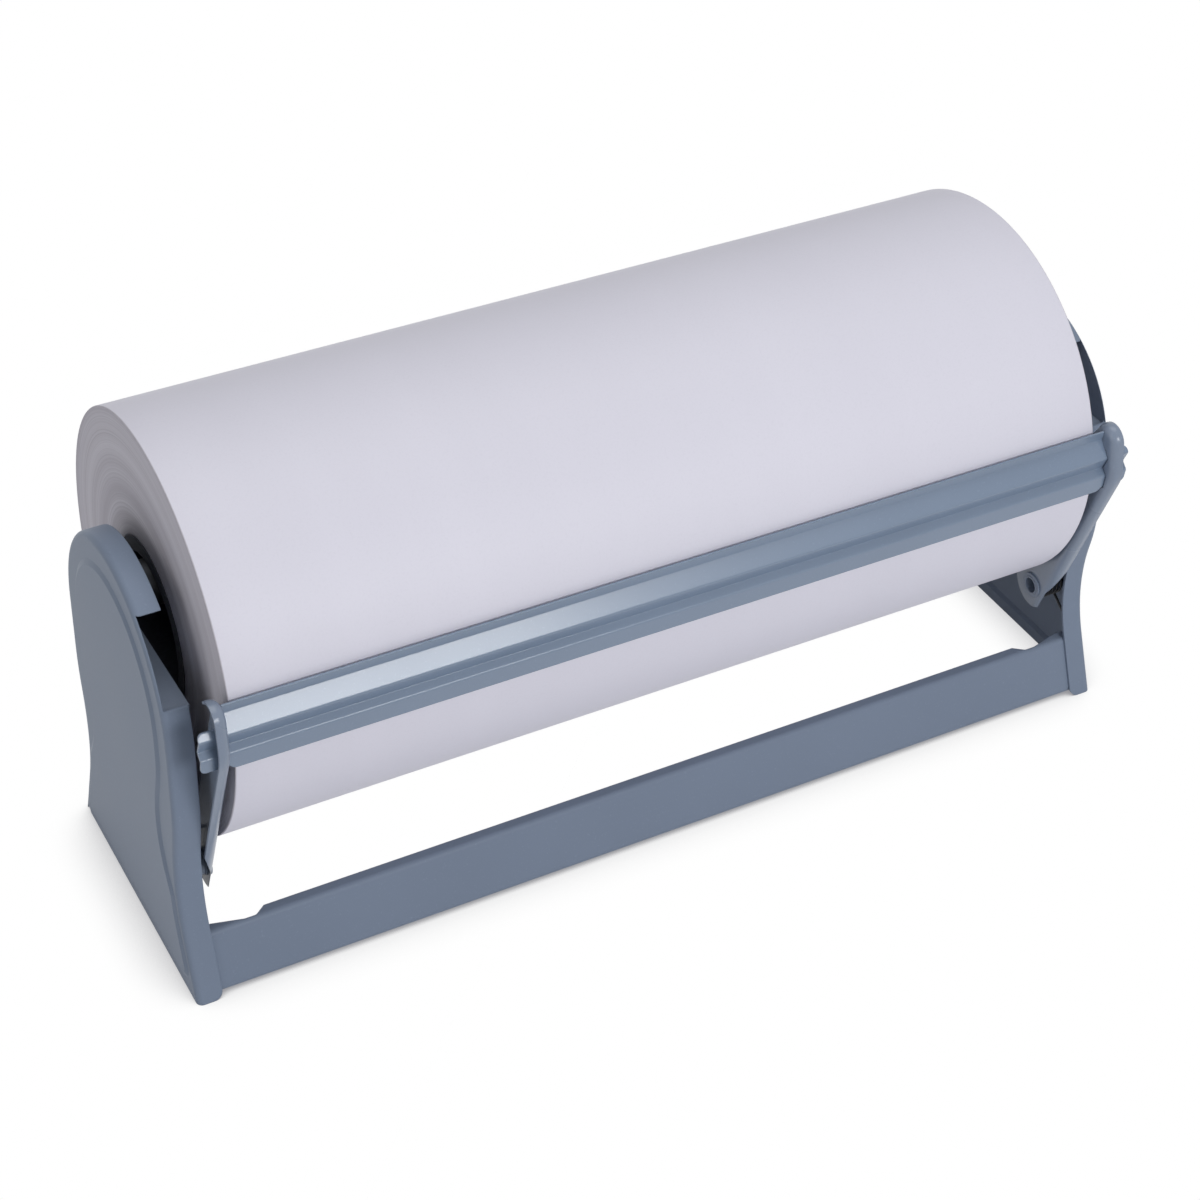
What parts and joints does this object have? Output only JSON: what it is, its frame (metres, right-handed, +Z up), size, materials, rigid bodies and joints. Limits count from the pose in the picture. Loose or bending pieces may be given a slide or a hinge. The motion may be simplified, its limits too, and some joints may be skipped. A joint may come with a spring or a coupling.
{
  "type": "gift wrap paper cutter",
  "caption": "Counter-top gift wrap cutter: a paper roll hung on a shaft between two waisted sheet end frames, with a sprung swinging tear-off blade across its front.",
  "frame": {"origin": "on the table, under the middle of the cutter's overall box", "axes": "+X along the roll to the right, +Y to the back, +Z up"},
  "size_m": [0.5644, 0.2398, 0.2796],
  "materials": {
    "frame_enamel": "semi-gloss blue-grey enamel",
    "arm_enamel": "semi-gloss blue-grey enamel",
    "blade_enamel": "glossy blue-grey enamel",
    "track_enamel": "semi-gloss blue-grey enamel",
    "stud_enamel": "semi-gloss blue-grey enamel",
    "spring_steel": "blackened spring wire",
    "shaft_steel": "blackened tube",
    "core_board": "dark grey wound board",
    "roll_paper": "smooth matt paper"
  },
  "bodies": {
    "base": {"left_end_frame": "frame_enamel", "right_end_frame": "frame_enamel", "left_shaft_track": "track_enamel", "right_shaft_track": "track_enamel", "front_cross_rail": "frame_enamel", "rear_cross_rail": "frame_enamel", "left_pivot_stud": "stud_enamel", "right_pivot_stud": "stud_enamel", "left_pivot_washer": "stud_enamel", "right_pivot_washer": "stud_enamel", "left_retaining_ring": "stud_enamel", "right_retaining_ring": "stud_enamel", "left_torsion_spring": "spring_steel", "right_torsion_spring": "spring_steel"},
    "blade": {"blade_bar": "blade_enamel", "left_blade_arm": "arm_enamel", "right_blade_arm": "arm_enamel"},
    "roll": {"paper_roll": "roll_paper", "core_tube": "core_board"},
    "shaft": {"roll_shaft": "shaft_steel"}
  },
  "joints": [
    {"name": "blade_swing", "type": "hinge", "parent": "base", "child": "blade", "pos_m": [0, -0.06372, 0.0605], "axis": [1, 0, 0], "range_deg": [0, 85], "stiffness_Nm_per_rad": 0.5, "springref_deg": -91.67, "deforming": ["left_torsion_spring", "right_torsion_spring"]},
    {"name": "roll_spin", "type": "hinge", "parent": "base", "child": "roll", "pos_m": [0, 0.00558, 0.1653], "axis": [1, 0, 0], "continuous": true},
    {"name": "shaft_spin", "type": "hinge", "parent": "base", "child": "shaft", "pos_m": [0, 0.00558, 0.1904], "axis": [1, 0, 0], "continuous": true}
  ],
  "couplings": [
    {"joint": "shaft_spin", "follows": "roll_spin", "ratio": 3}
  ]
}
